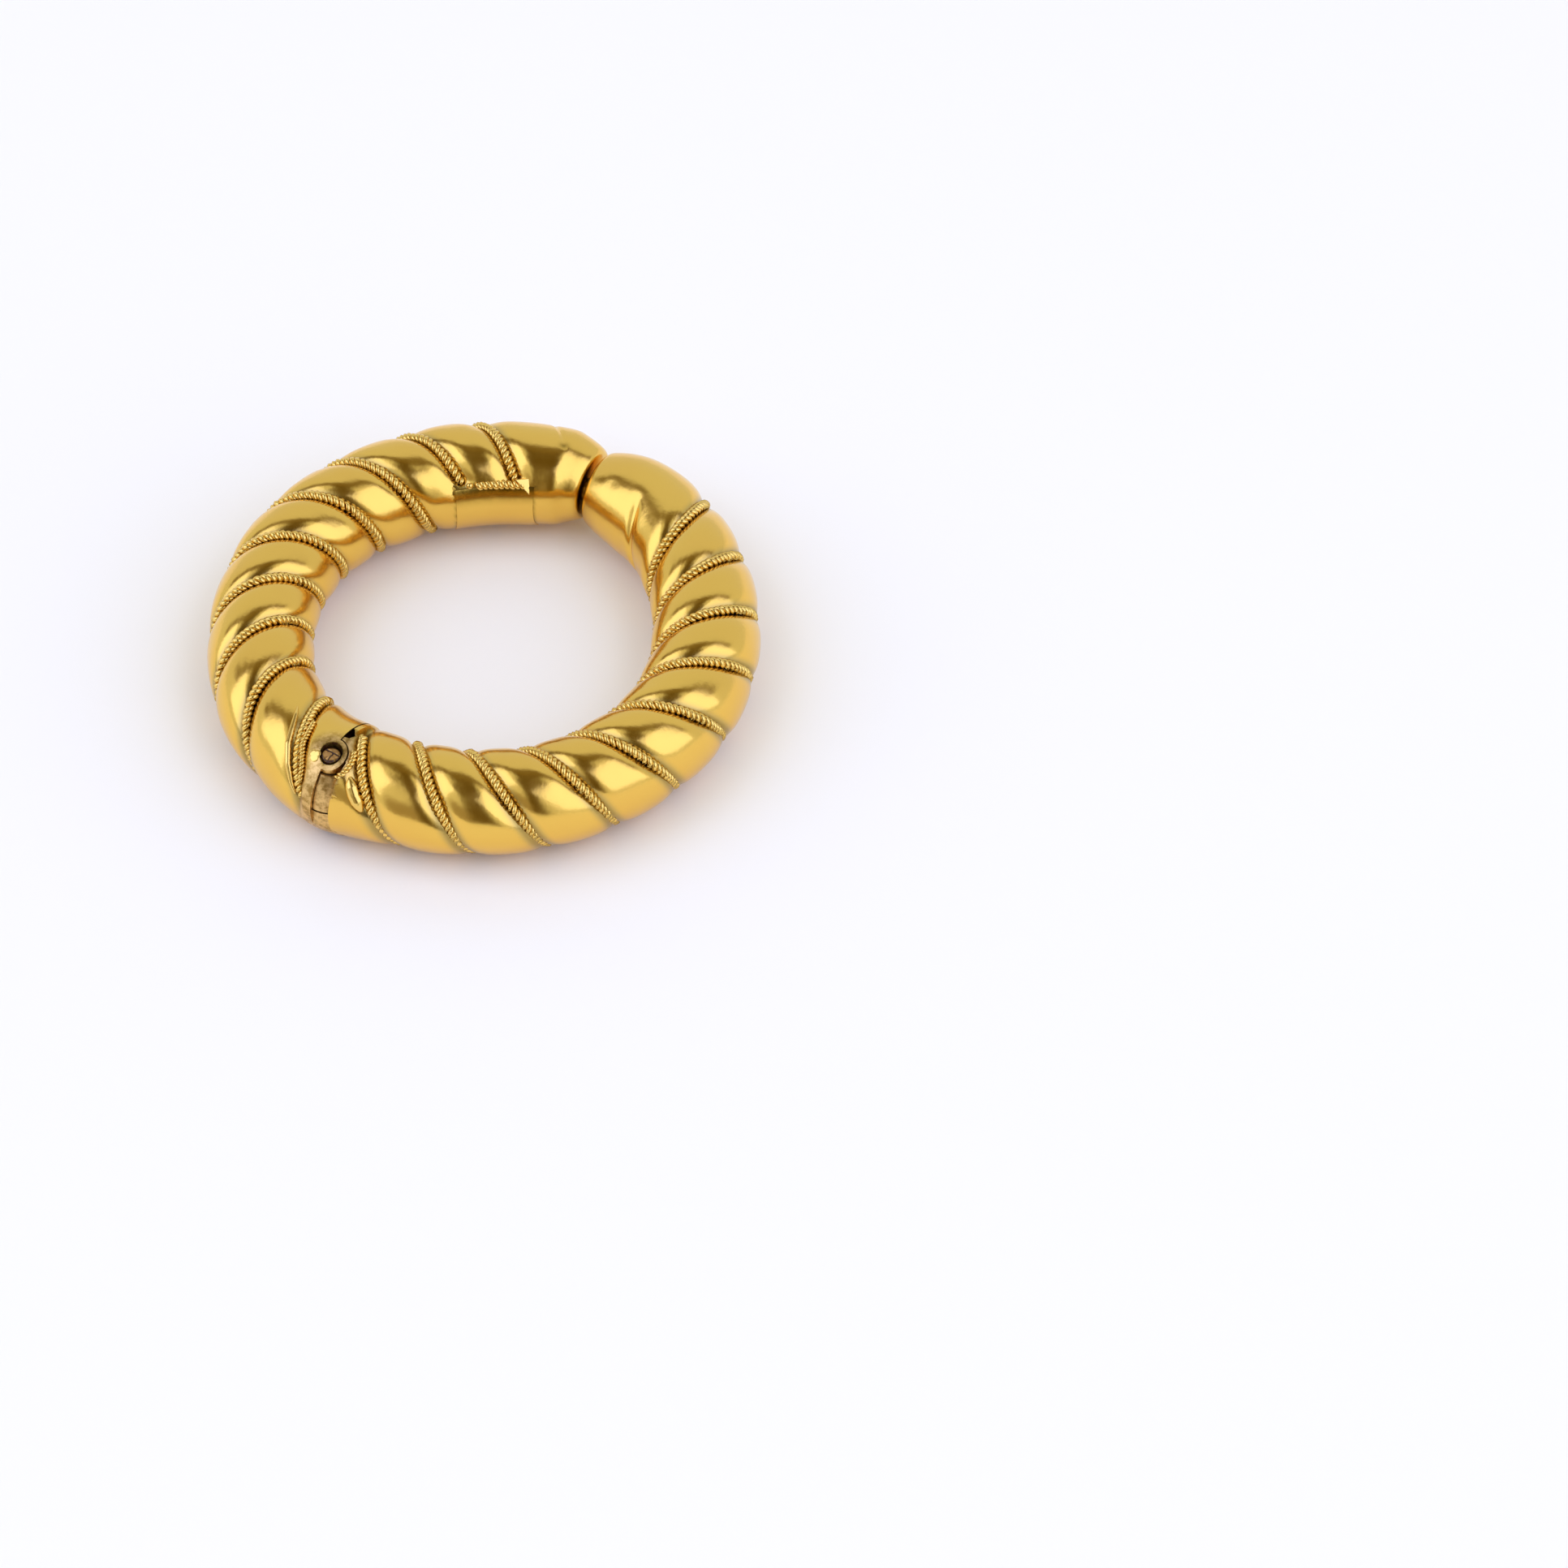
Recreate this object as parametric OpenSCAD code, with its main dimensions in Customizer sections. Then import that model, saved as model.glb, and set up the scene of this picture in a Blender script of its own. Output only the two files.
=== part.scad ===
// Twisted hoop earring, lying flat. Ring angles run anticlockwise seen from above, from +X, so the
// clasp is at 90 degrees (+Y) and the hinge near 264. Angles round the tube are 0 outwards, 90 at
// the top and 180 towards the middle of the hoop. Millimetres and degrees.

/* [Hoop] */
// Mean radius of the tube's centre line
ring_r = 10.6; // [10.3:0.05:11]
// Mean outer radius of the tube
tube_r = 2.5; // [2.45:0.01:2.55]
// Thickness of the metal under the crest of a band
wall = 0.6; // [0.5:0.05:0.65]
// Ring angle of the clasp gap
clasp_at = 90; // [89.8:0.1:90.2]
// Width of the clasp gap, as a ring angle
clasp_gap = 1.4; // [1:0.1:1.6]

/* [Spiral bands] */
// How far a rope wire stands above the crests of the bands
wire_rise = 0.04; // [0.02:0.01:0.1]
// How deep the grooves beside a wire lie below the crests
band_crown = 0.36; // [0.24:0.01:0.38]
// How fully a band bulges before it falls to its grooves
band_fullness = 3; // [2:0.5:3.5]
// Number of wires that wind side by side
starts = 2; // [2]
// How much further the twist turns on the outer side than on the inner side
lean = 0.8; // [0:0.1:1.5]
// Share of the relief that is left on the tube's outer side, which is worn flatter
outer_share = 0.4; // [0.3:0.05:1]

/* [Plain ends] */
// Length over which each clasp end rounds over
rim_len = 0.25; // [0.2:0.05:0.4]
// How far each clasp end draws in at its rim
rim_drop = 0.2; // [0.1:0.05:0.3]
// Thickness of the flat disc in each clasp end
end_disc = 0.6; // [0.5:0.05:0.8]

/* [Hinge] */
// Ring angle of the hinge seam
hinge_at = 263.9; // [263.5:0.1:264.5]
// Distance of the hinge pin from the middle of the hoop
pin_out = 11.8; // [11.75:0.01:11.85]
// Radius of the pin's shaft
pin_r = 0.35; // [0.3:0.01:0.38]
// Radius of the pin's two heads
head_r = 0.44; // [0.42:0.01:0.46]
// Running clearance of the middle knuckle on the pin
pin_play = 0.05; // [0.03:0.01:0.08]
// Radius of the lower knuckle
low_knuckle_r = 1.6; // [1.5:0.01:1.62]
// Radius of the upper knuckle, which holds the rivet head
top_knuckle_r = 0.75; // [0.72:0.01:0.8]
// Gap between the moving faces of the hinge
hinge_gap = 0.06; // [0.05:0.01:0.08]
// Width of the seam between the two halves at the hinge
hinge_seam = 0.06; // [0.05:0.01:0.1]
// Width from the seam to the edge of the front skin, outside the pin
hinge_strip = 0.86; // [0.84:0.01:0.9]

/* [Ear post] */
// Radius of the post
post_r = 0.45; // [0.4:0.01:0.5]
// Length of the post beyond the front half's end
post_len = 6.5; // [6:0.1:6.6]
// Distance of the post from the middle of the hoop where it crosses the clasp gap
post_at = 10.5; // [10.45:0.01:10.55]
// Play of the post in the back half's socket
socket_play = 0.15; // [0.12:0.01:0.2]

/* [Hidden] */

// Height of the tube's centre line, so that the lowest skin lies on the surface
mid_z = tube_r + 0.18;
// Middle of the outline, measured from the middle of the ring
centre = [0.1215, -0.2278];

// Columns of the section table
RING = 0;
OUT = 1;
FAT = 2;
// Ring angle, how far the centre line stands outside ring_r, how far the skin outside tube_r
SECTIONS = [
    [90, 0.37, -0.86], [90.7, 0.37, -0.80], [91.8, 0.36, -0.69], [93, 0.35, -0.58], [94.5, 0.34, -0.46],
    [96, 0.31, -0.34], [97.3, 0.28, -0.23], [99, 0.24, -0.17], [103, 0.15, -0.12], [108, 0.06, -0.07],
    [123, -0.14, -0.03], [138, -0.24, -0.03], [158, -0.27, -0.03], [178, -0.28, 0], [198, -0.31, 0],
    [218, -0.15, 0.02], [233, 0.10, 0.02], [248, 0.20, 0.04], [256, 0.29, 0.09], [264, 0.26, 0.18],
    [271, 0.10, 0.07], [278, -0.04, 0.02], [293, -0.06, -0.03], [313, 0, -0.07], [333, -0.02, -0.06],
    [353, -0.04, -0.03], [373, -0.09, 0.03], [388, -0.14, 0.05], [408, 0, 0.01], [420, 0.22, -0.08],
    [430, 0.37, -0.12], [435, 0.39, -0.13], [440, 0.40, -0.22], [443.5, 0.37, -0.36], [446.5, 0.34, -0.54],
    [448.5, 0.32, -0.70], [450, 0.30, -0.86]];

// Ring angle at which each wire crosses the top line of the tube
BACK_WIRES = [115.1, 131.9, 149.9, 166.9, 183.7, 200.2, 216.9, 233.6, 252.4];
FRONT_WIRES = [268.8, 285.1, 300.8, 317.4, 333.2, 349.9, 366.8, 383.6, 400.2, 417.4];
// Mean spacing of the wires, for the ends of the spiral
wire_step = 16.7;

// Ring angles of the two halves: plain rings, then the spiral zone between two of them
back_low = clasp_at + clasp_gap / 2;
front_high = clasp_at + 360 - clasp_gap / 2;
hinge_reach = 8.4;
back_hollow_end = hinge_at - 10.8;
front_hollow_end = hinge_at + 11.4;
back_rings_low = [for (s = [0, 0.3, 0.7, 1.3, 2.3, 3.8, 5.3, 6.6, 8]) back_low + s];
back_rings_high = [262, 263.9, 268, hinge_at + hinge_reach];
front_rings_low = [hinge_at - hinge_reach, 260, 263.9, 267];
front_rings_high = [for (s = [19.3, 17.3, 15.3, 11.3, 7.3, 5, 3.2, 2.1, 1.3, 0.7, 0.3, 0]) front_high - s];

// Facets round the tube, and places across one band, from one wire to the next
sides = 24;
groove_at = 0.105;
BAND = [0, groove_at, 0.18, 0.29, 0.5, 0.71, 0.82, 1 - groove_at];
// Nearest that a slanted column comes to a plain ring
column_room = 0.7;

// Relief along the ring: where it begins, is whole, is whole for the last time and has gone, first on
// the sides that show and then on the underside
BACK_RELIEF = [104, 106, 260, 262];
BACK_RELIEF_BELOW = [104, 110, 255, 259];
FRONT_RELIEF = [265, 267, 430, 433];
FRONT_RELIEF_BELOW = [268, 272, 418, 424];
// Angles round the tube at which the underside gives way to the sides that show, and they to it
SIDES_SHOW = [-70, -20, 200, 250];
// Angles between which the relief grows from the share on the outer side to the whole
OUTER_SIDE = [-10, 50];
// Half a band beside the first or last wire keeps its groove over this share of the band
last_groove = [0.08, 0.3];

// Soldered plate on the back half's inner side: the same four limits along the ring and round the tube
PLATE_RING = [101, 103, 128, 130];
PLATE_ROUND = [140, 150, 228, 238];
plate_rise = 0.03;

// Rivet, knuckle and post sizes that follow from the ones above
big = 12;
foot_z = 0.07;
top_z = 1.8;
MIDDLE_KNUCKLE = [[foot_z, 1.56], [0.7, 1.46], [1.3, 1.22], [top_z, 0.86]];
sink_floor = 2.0;
head_ring = 0.1;
pin_fit = 0.01;
head_top = 2.42;
// Notch on the seam beside the top knuckle, in the hinge frame
NOTCH = [[-0.99, 0], [-1.73, 0], [-1.73, 0.09], [-1.39, 0.34], [-1.06, 0.26]];
notch_floor = 2.1;
hinge_xy = pin_out * [cos(hinge_at), sin(hinge_at)];
post_xy = post_at * [cos(clasp_at), sin(clasp_at)];
post_arm = post_xy - hinge_xy;
post_orbit = norm(post_arm);
post_from = atan2(post_arm[1], post_arm[0]);
half_gap = clasp_gap / 2 * PI / 180 * post_at;
post_root = 1.4;
post_play = 0.08;

// Value of one column of a table at x, smooth through the rows
function span_at(tab, x, i = 0) =
    i >= len(tab) - 2 || x < tab[i + 1][0] ? i : span_at(tab, x, i + 1);
function slope_at(tab, col, i) =
    let (a = max(i - 1, 0), b = min(i + 1, len(tab) - 1))
    (tab[b][col] - tab[a][col]) / (tab[b][0] - tab[a][0]);
function smooth_at(tab, col, x) =
    let (i = span_at(tab, x), w = tab[i + 1][0] - tab[i][0], u = (x - tab[i][0]) / w)
    tab[i][col] * (2 * u * u * u - 3 * u * u + 1)
    + tab[i + 1][col] * (3 * u * u - 2 * u * u * u)
    + slope_at(tab, col, i) * w * (u * u * u - 2 * u * u + u)
    + slope_at(tab, col, i + 1) * w * (u * u * u - u * u);
function ramp(x, from, to) = min(max((x - from) / (to - from), 0), 1);
// 1 between the two middle limits of t, and 0 outside the two outer ones
function within(x, t) = ramp(x, t[0], t[1]) * (1 - ramp(x, t[2], t[3]));

// Centre line, and a point at a distance r from it
function mid_r(ring) = ring_r + smooth_at(SECTIONS, OUT, ring);
function spot(ring, around, r, shift = 0) =
    let (reach = mid_r(ring) + shift + r * cos(around))
    [reach * cos(ring) - centre[0], reach * sin(ring) - centre[1], mid_z + r * sin(around)];

// Plain skin of the tube, with rounded rims at the clasp
function rim(ring) =
    let (s = min(abs(ring - back_low), abs(ring - front_high)) * PI / 180 * ring_r)
    s < rim_len ? rim_drop * (1 - sqrt(1 - pow(1 - s / rim_len, 2))) : 0;
function plain_r(ring) = tube_r + smooth_at(SECTIONS, FAT, ring) - rim(ring);

// Relief across one band, f = 0 at a wire and 0.5 at the crest
function relief(f) =
    let (d = min(f, 1 - f))
    d < groove_at ? wire_rise - (wire_rise + band_crown) * d / groove_at
    : -band_crown * pow((0.5 - d) / (0.5 - groove_at), band_fullness);

// Share of the relief at a place, with w as the band number there: on the sides that show, the bands
// beside the clasp caps and the hinge keep their outer half plain
function twist(wires, ring, around, w) =
    let (
        back = wires == BACK_WIRES,
        last = len(wires) - 1,
        turned = around > SIDES_SHOW[3] ? around - 360 : around,
        shows = within(turned, SIDES_SHOW),
        share = outer_share + (1 - outer_share) * ramp(turned, OUTER_SIDE[0], OUTER_SIDE[1]),
        past_clasp = (back ? w > -0.5 : w < last + 0.5) ? 1 : 0,
        past_hinge = 1 - ramp(back ? w - last : -w, last_groove[0], last_groove[1]))
    shows * share * past_clasp * past_hinge * within(ring, back ? BACK_RELIEF : FRONT_RELIEF)
    + (1 - shows) * outer_share * within(ring, back ? BACK_RELIEF_BELOW : FRONT_RELIEF_BELOW);
function plate(wires, ring, around) =
    wires == BACK_WIRES ? within(ring, PLATE_RING) * within(around, PLATE_ROUND) : 0;
function skin_r(wires, ring, around, b) =
    let (p = plate(wires, ring, around), w = around > SIDES_SHOW[3] ? b - starts : b)
    plain_r(ring) + relief(b - floor(b)) * twist(wires, ring, around, w) * (1 - p) + plate_rise * p;

// Ring angle of column i on row j: columns follow the wires, and one turn leads back by "starts"
function lattice(wires, w) =
    let (n = len(wires) - 1, k = floor(w))
    w <= 0 ? wires[0] + w * wire_step
    : w >= n ? wires[n] + (w - n) * wire_step
    : wires[k] + (w - k) * (wires[k + 1] - wires[k]);
function round_at(j) = 360 * j / sides;
function band_at(i) = let (n = len(BAND), k = floor(i / n)) k + BAND[i - k * n];
function column_at(wires, i, j) =
    lattice(wires, band_at(i) - starts * (round_at(j) - 90) / 360) + lean * cos(round_at(j));

// Outer skin: each row holds the low rings, the columns that fit between, then the high rings
function row_columns(wires, low, high, j) =
    [for (i = [-3 * len(BAND):(len(wires) + 4) * len(BAND)])
        if (column_at(wires, i, j) > low + column_room && column_at(wires, i, j) < high - column_room) i];
function skin_row(wires, low, high, cols, j) = concat(
    [for (t = low) spot(t, round_at(j), plain_r(t))],
    [for (i = cols) let (t = column_at(wires, i, j))
        spot(t, round_at(j), skin_r(wires, t, round_at(j), band_at(i)))],
    [for (t = high) spot(t, round_at(j), plain_r(t))]);

// Triangles between row j and row k, whose columns are numbered "turn" lower
function quad(a, b, c, d) = [[a, b, c], [a, c, d]];
function zip(nl, nh, bj, aj, cj, bk, ak, ck) =
    let (
        ej = aj + cj - 1, ek = ak + ck - 1,
        L = bj + nl - 1, M = bk + nl - 1, R = bj + nl + cj, S = bk + nl + ck)
    concat(
        [for (q = [0:1:nl - 2]) each quad(bj + q, bj + q + 1, bk + q + 1, bk + q)],
        [[L, bj + nl, M]],
        [for (i = [aj:1:ak - 1]) [bj + nl + i - aj, bj + nl + i + 1 - aj, M]],
        [[bj + nl + ak - aj, bk + nl, M]],
        [for (i = [ak:1:ej - 1]) each quad(
            bj + nl + i - aj, bj + nl + i + 1 - aj, bk + nl + i + 1 - ak, bk + nl + i - ak)],
        [[bj + nl + ej - aj, R, bk + nl + ej - ak]],
        [for (i = [ej:1:ek - 1]) [R, bk + nl + i + 1 - ak, bk + nl + i - ak]],
        [[R, S, bk + nl + ek - ak]],
        [for (q = [0:1:nh - 2]) each quad(R + q, R + q + 1, S + q + 1, S + q)]);

// Inner skin, from the hole in the end disc to the blind end of the hollow
function hollow_rings(face, dir, hole_r, stop) =
    let (
        back = face + dir * end_disc / (ring_r * PI / 180),
        n = ceil(abs(stop - back) / 7))
    concat(
        [for (t = [face, back]) [t, post_at - mid_r(t), hole_r]],
        [for (k = [0:n]) let (t = back + (stop - back) * k / n) [t, 0, plain_r(t) + rim(t) - wall]]);

// One half of the hoop as a single closed skin with its hollow. dir is +1 where the clasp end is
// the low end of the ring angles and -1 where it is the high end
module half_shell(wires, low, high, dir, hole_r, stop) {
    cols = [for (j = [0:sides - 1]) row_columns(wires, low[len(low) - 1], high[0], j)];
    nl = len(low);
    nh = len(high);
    counts = [for (c = cols) nl + len(c) + nh];
    base = [for (j = 0, s = 0; j < sides; s = s + counts[j], j = j + 1) s];
    total = base[sides - 1] + counts[sides - 1];
    turn = starts * len(BAND);
    outer_faces = [for (j = [0:sides - 1]) let (k = (j + 1) % sides, shift = j + 1 == sides ? turn : 0)
        each zip(nl, nh, base[j], cols[j][0], len(cols[j]), base[k], cols[k][0] + shift, len(cols[k]))];
    face = dir > 0 ? low[0] : high[nh - 1];
    rings = hollow_rings(face, dir, hole_r, stop);
    inner_pts = [for (g = rings) for (j = [0:sides - 1]) spot(g[0], round_at(j), g[2], g[1])];
    function rim_index(j) = dir > 0 ? base[j] : base[j] + counts[j] - 1;
    function far_index(j) = dir > 0 ? base[j] + counts[j] - 1 : base[j];
    function in_index(g, j) = total + g * sides + j;
    last = len(rings) - 1;
    // These run one way for a low clasp end, and are turned round for a high one
    end_faces = concat(
        [for (j = [0:sides - 1]) let (k = (j + 1) % sides)
            each quad(rim_index(j), rim_index(k), in_index(0, k), in_index(0, j))],
        [for (g = [0:last - 1]) for (j = [0:sides - 1]) let (k = (j + 1) % sides)
            each quad(in_index(g, j), in_index(g, k), in_index(g + 1, k), in_index(g + 1, j))],
        [[for (j = [0:sides - 1]) in_index(last, j)]],
        [[for (j = [sides - 1:-1:0]) far_index(j)]]);
    polyhedron(
        points = concat([for (j = [0:sides - 1]) each skin_row(wires, low, high, cols[j], j)], inner_pts),
        faces = concat(
            [for (f = outer_faces) [f[2], f[1], f[0]]],
            [for (f = end_faces) dir > 0 ? [for (i = [len(f) - 1:-1:0]) f[i]] : f]));
}

// Hinge frame: +X points outwards from the pin, +Y along the hoop into the front half
module at_hinge() {
    translate([-centre[0], -centre[1], mid_z])
        rotate([0, 0, hinge_at])
            translate([pin_out, 0, 0])
                children();
}

module disc(r, from, to) {
    translate([0, 0, from])
        cylinder(r = r, h = to - from, $fn = 64);
}

// Turned body of the middle knuckle, grown by "more" all round
module middle_knuckle(more) {
    rotate_extrude($fn = 64)
        polygon(concat(
            [[0, foot_z - more]],
            [for (p = MIDDLE_KNUCKLE) let (out = p[0] == foot_z ? -more : p[0] == top_z ? more : 0)
                [p[1] + more, p[0] + out]],
            [[0, top_z + more]]));
}

module slab(x_from, y_from, y_to) {
    translate([x_from, y_from, -big / 2])
        cube([big, y_to - y_from, big]);
}

// What the hinge takes away from the back half
module back_hinge_cut() {
    at_hinge() {
        difference() {
            slab(-big * 0.75, -hinge_seam / 2, big / 3);
            disc(low_knuckle_r, -big, foot_z - hinge_gap);
            disc(top_knuckle_r, top_z + hinge_gap, big);
        }
        middle_knuckle(hinge_gap);
        disc(pin_r + pin_fit, -big / 2, big / 2);
        disc(head_r + head_ring, sink_floor, big / 2);
        disc(head_r + head_ring, -big / 2, -sink_floor);
    }
}

// What the hinge takes away from the front half
module front_hinge_cut() {
    at_hinge() {
        difference() {
            union() {
                slab(-big * 0.75, -big / 3, hinge_seam / 2);
                slab(0, -big / 3, hinge_strip);
                disc(low_knuckle_r + hinge_gap, -big, foot_z);
                disc(top_knuckle_r + hinge_gap, top_z, big);
            }
            middle_knuckle(0);
        }
        disc(pin_r + pin_play, -big / 2, big / 2);
        translate([0, 0, notch_floor])
            linear_extrude(big / 2)
                polygon(NOTCH);
    }
}

module back_half() {
    color("gold")
        difference() {
            half_shell(
                BACK_WIRES, back_rings_low, back_rings_high, 1, post_r + socket_play, back_hollow_end);
            back_hinge_cut();
        }
}

module front_half() {
    color("goldenrod")
        difference() {
            half_shell(
                FRONT_WIRES, front_rings_low, front_rings_high, -1, post_r + post_play, front_hollow_end);
            front_hinge_cut();
        }
}

// Rivet with a flat head sunk in the top and in the underside of the back half
module hinge_pin() {
    color("darkgoldenrod")
        at_hinge()
            union() {
                disc(pin_r, pin_fit - head_top, head_top - pin_fit);
                disc(head_r, sink_floor + pin_fit, head_top);
                disc(head_r, -head_top, -sink_floor - pin_fit);
            }
}

// Plain curved post on a circle about the hinge pin
module ear_post() {
    root = post_from - (half_gap + post_root) / post_orbit * 180 / PI;
    tip = post_from + (post_len - half_gap) / post_orbit * 180 / PI;
    color("khaki")
        translate([hinge_xy[0] - centre[0], hinge_xy[1] - centre[1], mid_z])
            rotate([0, 0, root])
                rotate_extrude(angle = tip - root, $fn = 96)
                    translate([post_orbit, 0])
                        circle(r = post_r, $fn = 32);
}

front_half();
back_half();
hinge_pin();
ear_post();
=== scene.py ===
import math

import bmesh
import bpy
import numpy as np
from mathutils import Matrix, Vector


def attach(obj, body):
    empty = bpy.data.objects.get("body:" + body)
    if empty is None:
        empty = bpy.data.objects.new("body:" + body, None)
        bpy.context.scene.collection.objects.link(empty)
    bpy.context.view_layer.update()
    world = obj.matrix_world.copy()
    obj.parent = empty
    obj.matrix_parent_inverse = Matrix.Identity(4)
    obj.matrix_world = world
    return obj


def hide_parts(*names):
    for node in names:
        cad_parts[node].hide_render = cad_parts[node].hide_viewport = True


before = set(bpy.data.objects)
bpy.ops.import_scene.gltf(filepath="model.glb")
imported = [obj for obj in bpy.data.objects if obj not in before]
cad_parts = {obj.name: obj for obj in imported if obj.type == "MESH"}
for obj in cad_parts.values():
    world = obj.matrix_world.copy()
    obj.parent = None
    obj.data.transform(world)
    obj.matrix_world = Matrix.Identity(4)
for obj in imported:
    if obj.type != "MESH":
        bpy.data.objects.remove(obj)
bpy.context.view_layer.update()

MM = 0.001

# The hoop's own measures, in millimetres and degrees, as the CAD model has them
RING_R = 10.6
TUBE_R = 2.5
MID_Z = 2.68
CENTRE = np.array([0.1215, -0.2278])
CLASP_AT = 90.0
HALF_GAP = 0.7
HINGE_AT = 263.9
PIN_OUT = 11.8
POST_AT = 10.5
POST_R = 0.45
POST_PLAY = 0.15
# Length of the post outside and inside the front half's end face
POST_OUT, POST_ROOT = 6.5, 1.4
WALL = 0.6
# Thickness of the disc in each clasp end, as a ring angle
END_DISC = 3.2
# Ring angles at which the hollows of the two halves stop beside the hinge
BACK_HOLLOW_END, FRONT_HOLLOW_END = HINGE_AT - 10.8, HINGE_AT + 11.4
# Length of a degree along the ring and of a degree round the tube, for the sizes of marks
MM_ALONG = 0.185
MM_ROUND = 0.0436

# Ring angle, how far the centre line stands outside RING_R, how far the skin outside TUBE_R
SECTIONS = np.array([
    [90, 0.37, -0.86], [90.7, 0.37, -0.80], [91.8, 0.36, -0.69], [93, 0.35, -0.58], [94.5, 0.34, -0.46],
    [96, 0.31, -0.34], [97.3, 0.28, -0.23], [99, 0.24, -0.17], [103, 0.15, -0.12], [108, 0.06, -0.07],
    [123, -0.14, -0.03], [138, -0.24, -0.03], [158, -0.27, -0.03], [178, -0.28, 0], [198, -0.31, 0],
    [218, -0.15, 0.02], [233, 0.10, 0.02], [248, 0.20, 0.04], [256, 0.29, 0.09], [264, 0.26, 0.18],
    [271, 0.10, 0.07], [278, -0.04, 0.02], [293, -0.06, -0.03], [313, 0, -0.07], [333, -0.02, -0.06],
    [353, -0.04, -0.03], [373, -0.09, 0.03], [388, -0.14, 0.05], [408, 0, 0.01], [420, 0.22, -0.08],
    [430, 0.37, -0.12], [435, 0.39, -0.13], [440, 0.40, -0.22], [443.5, 0.37, -0.36],
    [446.5, 0.34, -0.54], [448.5, 0.32, -0.70], [450, 0.30, -0.86]])

# Ring angle at which each rope wire crosses the top line of the tube
BACK_WIRES = [115.1, 131.9, 149.9, 166.9, 183.7, 200.2, 216.9, 233.6, 252.4]
FRONT_WIRES = [268.8, 285.1, 300.8, 317.4, 333.2, 349.9, 366.8, 383.6, 400.2, 417.4]
WIRE_STEP = 16.7
LEAN = 0.8


def smooth_at(col, x):
    """Value of a column of the section table, smooth through its rows."""
    x = np.asarray(x, float)
    tx, ty = SECTIONS[:, 0], SECTIONS[:, col]
    i = np.clip(np.searchsorted(tx, x, "right") - 1, 0, len(tx) - 2)
    lo, hi = np.maximum(i - 1, 0), np.minimum(i + 1, len(tx) - 1)
    slope_a = (ty[hi] - ty[lo]) / (tx[hi] - tx[lo])
    hi2 = np.minimum(i + 2, len(tx) - 1)
    slope_b = (ty[hi2] - ty[i]) / (tx[hi2] - tx[i])
    w = tx[i + 1] - tx[i]
    u = (x - tx[i]) / w
    return (ty[i] * (2 * u**3 - 3 * u**2 + 1) + ty[i + 1] * (3 * u**2 - 2 * u**3)
            + slope_a * w * (u**3 - 2 * u**2 + u) + slope_b * w * (u**3 - u**2))


def ramp(x, start, end):
    return np.clip((np.asarray(x, float) - start) / (end - start), 0, 1)


def ease(t):
    return t * t * (3 - 2 * t)


def spot(ring, around, r, shift=0.0):
    """Points in millimetres at a distance r from the tube's centre line."""
    a, p = np.radians(ring), np.radians(around)
    reach = RING_R + smooth_at(1, ring) + shift + r * np.cos(p)
    return np.stack([reach * np.cos(a) - CENTRE[0], reach * np.sin(a) - CENTRE[1],
                     MID_Z + r * np.sin(p) + 0 * reach], -1)


def spacing(wires):
    """Knots of the law that gives the ring angle of band number w on the top line."""
    n = len(wires)
    knots = np.arange(-4, n + 4)
    angles = [wires[0] + k * WIRE_STEP for k in range(-4, 0)] + list(wires)
    angles += [wires[-1] + (k + 1) * WIRE_STEP for k in range(4)]
    return knots, np.array(angles)


def ring_of(wires, w, around):
    knots, angles = spacing(wires)
    return np.interp(w - 2 * (around - 90) / 360, knots, angles) + LEAN * np.cos(np.radians(around))


def band_of(wires, ring, around):
    """Band number at a place on the tube: whole numbers lie on a rope wire."""
    knots, angles = spacing(wires)
    return np.interp(ring - LEAN * np.cos(np.radians(around)), angles, knots) + 2 * (around - 90) / 360


# Low relief of the bands: fall and fullness of the crown, width and floor of the groove beside a wire
CROWN = 0.37
CROWN_POWER = 3.0
WALL_AT = 0.06
FLOOR = -0.44


def relief(f):
    d = np.minimum(f, 1 - f)
    band = -CROWN * (np.clip(0.5 - d, 0, None) / (0.5 - WALL_AT)) ** CROWN_POWER
    wall = ease(ramp(d, WALL_AT - 0.015, WALL_AT + 0.004))
    return FLOOR + (band - FLOOR) * wall


# Relief along the ring: where it begins, is whole, is whole for the last time and has gone, first on the
# sides that show and then on the underside
BACK_RELIEF, BACK_RELIEF_BELOW = (104, 106, 260, 262), (104, 110, 255, 259)
FRONT_RELIEF, FRONT_RELIEF_BELOW = (265, 267, 430, 433), (268, 272, 418, 424)
# Angles round the tube at which the underside gives way to the sides that show, and they to it
SIDES_SHOW = (-70, -20, 200, 250)
# The groove beside the first or last wire, as shares of a band
LAST_GROOVE = (0.08, 0.3)
# Share of the relief on the tube's outer side, and the angles between which it grows to the whole
OUTER_SHARE, OUTER_SIDE = 0.4, (-10, 50)
# The outer side itself, where the ropes lie lower and less dirt and painted shade is put in the crevices
WORN_SIDE = (-110, -60, -10, 50)
# Soldered plate on the back half's inner side
PLATE_RING, PLATE_ROUND = (102.4, 103, 128.4, 129), (140, 150, 228, 238)


def within(x, limits):
    """1 between the two middle limits, and 0 outside the two outer ones."""
    return ease(ramp(x, limits[0], limits[1])) * (1 - ease(ramp(x, limits[2], limits[3])))


def seen_side(around):
    """The angle round the tube, counted on from the underside."""
    return np.where(around > SIDES_SHOW[3], around - 360, around)


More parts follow.
